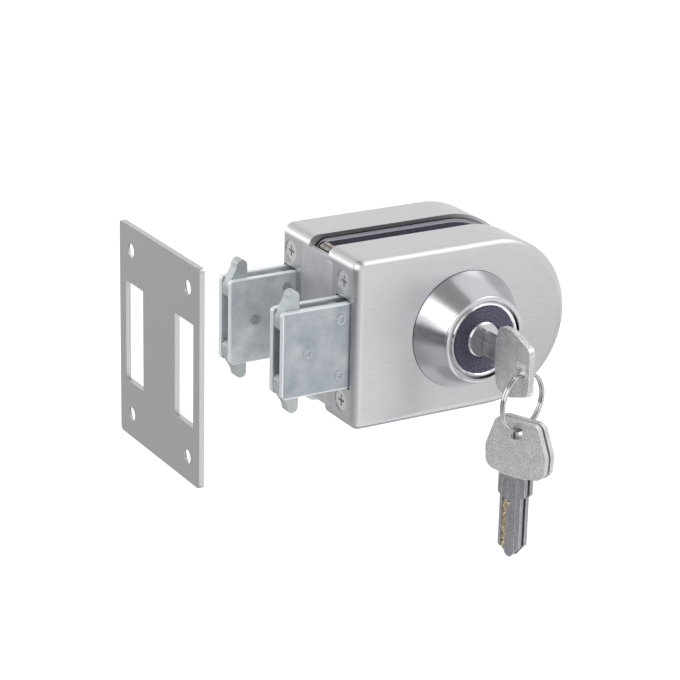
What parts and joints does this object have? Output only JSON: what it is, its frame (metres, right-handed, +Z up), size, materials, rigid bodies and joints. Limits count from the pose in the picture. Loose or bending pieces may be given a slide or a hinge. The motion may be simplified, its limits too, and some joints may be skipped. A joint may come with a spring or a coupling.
{
  "type": "glass door lock",
  "caption": "Keyed lock clamped on the edge of a frameless glass door: claw bolts on both sides of the glass are thrown by one key into a slotted strike plate.",
  "frame": {"origin": "on the lock cylinder's axis, at the front pad's face that meets the glass", "axes": "+X from the bolts to the round end, +Y from the keyed side through the glass, +Z up"},
  "size_m": [0.1535, 0.1091, 0.1139],
  "materials": {
    "satin_zinc": "satin nickel plating on a zinc casting",
    "pale_zinc": "zinc-plated steel",
    "bright_steel": "polished nickel plating",
    "satin_strike": "satin stainless sheet",
    "gunmetal": "dark violet-grey PVD face",
    "brass": "turned brass",
    "key_nickel": "tumbled nickel-plated brass",
    "wire_steel": "bright spring wire",
    "black_rubber": "matt black rubber",
    "screw_steel": "bright plated steel"
  },
  "bodies": {
    "case": {"front_cover": "satin_zinc", "rear_cover": "satin_zinc", "front_chassis": "pale_zinc", "rear_chassis": "pale_zinc", "front_pad": "black_rubber", "rear_pad": "black_rubber", "edge_strip": "satin_zinc", "clamp_screws": "screw_steel", "front_end_screws": "screw_steel", "rear_end_screws": "screw_steel", "escutcheon": "satin_zinc", "ring_nut": "bright_steel", "face_disc": "gunmetal", "cylinder_body": "brass", "cylinder_screws": "screw_steel", "cylinder_bracket": "pale_zinc", "bracket_screws": "screw_steel", "driver_pins": "brass", "pin_springs": "wire_steel", "chamber_caps": "brass", "strike_plate": "satin_strike"},
    "plug_assembly": {"plug": "key_nickel", "key_pins": "brass", "pinion": "brass", "tail_clip": "wire_steel"},
    "bolt_assembly": {"front_outer_plate": "pale_zinc", "front_rack_plate": "pale_zinc", "front_root_spacer": "pale_zinc", "front_root_rivets": "screw_steel", "front_claw_pivots": "screw_steel", "front_centre_rivet": "screw_steel", "front_centre_sleeve": "pale_zinc", "rear_outer_plate": "pale_zinc", "rear_inner_plate": "pale_zinc", "rear_root_spacer": "pale_zinc", "rear_root_rivets": "screw_steel", "rear_claw_pivots": "screw_steel", "rear_centre_rivet": "screw_steel", "rear_centre_sleeve": "pale_zinc", "bridge_block": "pale_zinc", "bridge_screws": "screw_steel"},
    "front_upper_claw_body": {"front_upper_claw": "pale_zinc"},
    "front_lower_claw_body": {"front_lower_claw": "pale_zinc"},
    "rear_upper_claw_body": {"rear_upper_claw": "pale_zinc"},
    "rear_lower_claw_body": {"rear_lower_claw": "pale_zinc"},
    "key_body": {"lock_key": "key_nickel"},
    "ring_body": {"key_ring": "wire_steel"},
    "spare_keys_body": {"spare_key_front": "key_nickel", "spare_key_rear": "key_nickel"}
  },
  "joints": [
    {"name": "plug_turn", "type": "hinge", "parent": "case", "child": "plug_assembly", "pos_m": [0, -0.0209, 0], "axis": [0, 1, 0], "range_deg": [0, 360]},
    {"name": "bolt_throw", "type": "slide", "parent": "case", "child": "bolt_assembly", "axis": [1, 0, 0], "range_m": [0, 0.0283]},
    {"name": "front_upper_claw_fold", "type": "hinge", "parent": "bolt_assembly", "child": "front_upper_claw_body", "pos_m": [-0.0499, -0.01245, 0.0104], "axis": [0, -1, 0], "range_deg": [0, 22.7]},
    {"name": "front_lower_claw_fold", "type": "hinge", "parent": "bolt_assembly", "child": "front_lower_claw_body", "pos_m": [-0.0499, -0.01245, -0.0104], "axis": [0, 1, 0], "range_deg": [0, 22.7]},
    {"name": "rear_upper_claw_fold", "type": "hinge", "parent": "bolt_assembly", "child": "rear_upper_claw_body", "pos_m": [-0.0499, 0.0263, 0.0104], "axis": [0, -1, 0], "range_deg": [0, 22.7]},
    {"name": "rear_lower_claw_fold", "type": "hinge", "parent": "bolt_assembly", "child": "rear_lower_claw_body", "pos_m": [-0.0499, 0.0263, -0.0104], "axis": [0, 1, 0], "range_deg": [0, 22.7]},
    {"name": "key_pull", "type": "slide", "parent": "plug_assembly", "child": "key_body", "axis": [0, -1, 0], "range_m": [0, 0.03]},
    {"name": "ring_swing", "type": "hinge", "parent": "key_body", "child": "ring_body", "pos_m": [0, -0.0589, -0.0042], "axis": [1, 0, 0], "range_deg": [-30, 15]},
    {"name": "spare_keys_swing", "type": "hinge", "parent": "ring_body", "child": "spare_keys_body", "pos_m": [0, -0.0589, -0.0252], "axis": [1, 0, 0], "range_deg": [-20, 15]}
  ],
  "couplings": [
    {"joint": "bolt_throw", "follows": "plug_turn", "m_per_rad": 0.0045},
    {"joint": "front_upper_claw_fold", "follows": "plug_turn", "ratio": 0.062778},
    {"joint": "front_lower_claw_fold", "follows": "plug_turn", "ratio": 0.062778},
    {"joint": "rear_upper_claw_fold", "follows": "plug_turn", "ratio": 0.062778},
    {"joint": "rear_lower_claw_fold", "follows": "plug_turn", "ratio": 0.062778}
  ]
}
